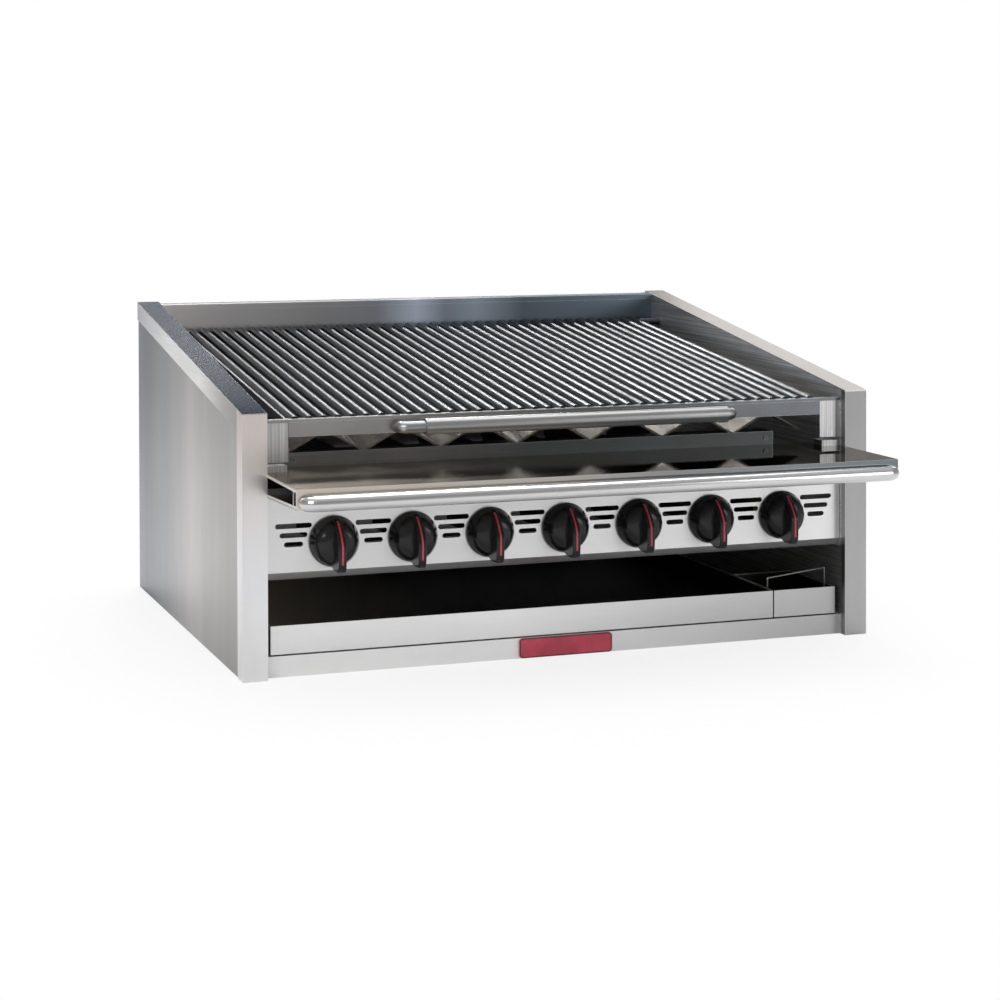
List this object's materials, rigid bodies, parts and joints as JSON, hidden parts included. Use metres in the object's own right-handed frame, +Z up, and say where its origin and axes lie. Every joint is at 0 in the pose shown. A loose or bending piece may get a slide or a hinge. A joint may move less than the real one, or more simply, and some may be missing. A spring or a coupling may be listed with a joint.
{
  "type": "charbroiler grill",
  "caption": "Countertop gas charbroiler: sloping steel cabinet, tilting round-rod cooking grid, work deck with front bar, row of burner knobs, louvred panel, water pan and grease box.",
  "frame": {"origin": "centre of the cabinet's footprint on the counter", "axes": "+X to the user's right, +Y to the back, +Z up"},
  "size_m": [0.9144, 0.9388, 0.457],
  "materials": {
    "brushed": "brushed",
    "liner": "smoked by heat",
    "polished": "polished",
    "grid_iron": "seasoned",
    "pipe_black": "matt",
    "valve_brass": "machined",
    "knob_plastic": "gloss",
    "badge_red": "enamel"
  },
  "bodies": {
    "root": {"back_panel": "brushed", "backsplash": "brushed", "badge_plate": "badge_red", "base_front_rail": "brushed", "burner_front_rail": "liner", "burner_orifices": "valve_brass", "burners": "grid_iron", "control_panel": "brushed", "deck_bar": "polished", "deck_clips": "brushed", "deck_gussets": "liner", "floor_sheet": "liner", "front_burner_shelf": "liner", "gas_inlet_pipe": "pipe_black", "gas_manifold": "pipe_black", "gas_valves": "valve_brass", "grid_pivot_pins": "liner", "left_cap": "brushed", "left_column": "brushed", "left_grid_bracket": "brushed", "left_side_liner": "liner", "left_side_skin": "brushed", "manifold_hangers": "liner", "pan_runners": "liner", "pilot_runner": "pipe_black", "radiant_rear_bar": "liner", "radiants": "grid_iron", "rail_screws": "brushed", "rear_burner_shelf": "liner", "right_cap": "brushed", "right_column": "brushed", "right_grid_bracket": "brushed", "right_side_liner": "liner", "right_side_skin": "brushed", "work_deck": "polished"},
    "knob_1": {"knob_1": "knob_plastic", "valve_stem_1": "valve_brass"},
    "knob_2": {"knob_2": "knob_plastic", "valve_stem_2": "valve_brass"},
    "knob_3": {"knob_3": "knob_plastic", "valve_stem_3": "valve_brass"},
    "knob_4": {"knob_4": "knob_plastic", "valve_stem_4": "valve_brass"},
    "knob_5": {"knob_5": "knob_plastic", "valve_stem_5": "valve_brass"},
    "knob_6": {"knob_6": "knob_plastic", "valve_stem_6": "valve_brass"},
    "knob_7": {"knob_7": "knob_plastic", "valve_stem_7": "valve_brass"},
    "grid": {"grid_front_rail": "polished", "grid_front_ledge": "polished", "grid_side_bars": "grid_iron", "grid_rear_bar": "grid_iron", "grid_rods": "grid_iron", "handle_rod": "polished"},
    "sleeve": {"handle_sleeve": "polished"},
    "pan": {"water_pan": "brushed"},
    "box": {"grease_box": "brushed", "grease_box_pull": "liner"}
  },
  "joints": [
    {"name": "knob_1_turn", "type": "hinge", "parent": "root", "child": "knob_1", "pos_m": [-0.3294, -0.37, 0.1765], "axis": [0, -1, 0], "range_deg": [0, 90]},
    {"name": "knob_2_turn", "type": "hinge", "parent": "root", "child": "knob_2", "pos_m": [-0.2196, -0.37, 0.1765], "axis": [0, -1, 0], "range_deg": [0, 90]},
    {"name": "knob_3_turn", "type": "hinge", "parent": "root", "child": "knob_3", "pos_m": [-0.1098, -0.37, 0.1765], "axis": [0, -1, 0], "range_deg": [0, 90]},
    {"name": "knob_4_turn", "type": "hinge", "parent": "root", "child": "knob_4", "pos_m": [0, -0.37, 0.1765], "axis": [0, -1, 0], "range_deg": [0, 90]},
    {"name": "knob_5_turn", "type": "hinge", "parent": "root", "child": "knob_5", "pos_m": [0.1098, -0.37, 0.1765], "axis": [0, -1, 0], "range_deg": [0, 90]},
    {"name": "knob_6_turn", "type": "hinge", "parent": "root", "child": "knob_6", "pos_m": [0.2196, -0.37, 0.1765], "axis": [0, -1, 0], "range_deg": [0, 90]},
    {"name": "knob_7_turn", "type": "hinge", "parent": "root", "child": "knob_7", "pos_m": [0.3294, -0.37, 0.1765], "axis": [0, -1, 0], "range_deg": [0, 90]},
    {"name": "grid_tilt", "type": "hinge", "parent": "root", "child": "grid", "pos_m": [0, 0.30792, 0.40824], "axis": [-1, 0, 0], "range_deg": [0, 6]},
    {"name": "sleeve_spin", "type": "hinge", "parent": "grid", "child": "sleeve", "pos_m": [0, -0.374, 0.326], "axis": [1, 0, 0], "continuous": true},
    {"name": "pan_slide", "type": "slide", "parent": "root", "child": "pan", "axis": [0, -1, 0], "range_m": [0, 0.45]},
    {"name": "box_slide", "type": "slide", "parent": "root", "child": "box", "axis": [0, -1, 0], "range_m": [0, 0.13]}
  ]
}
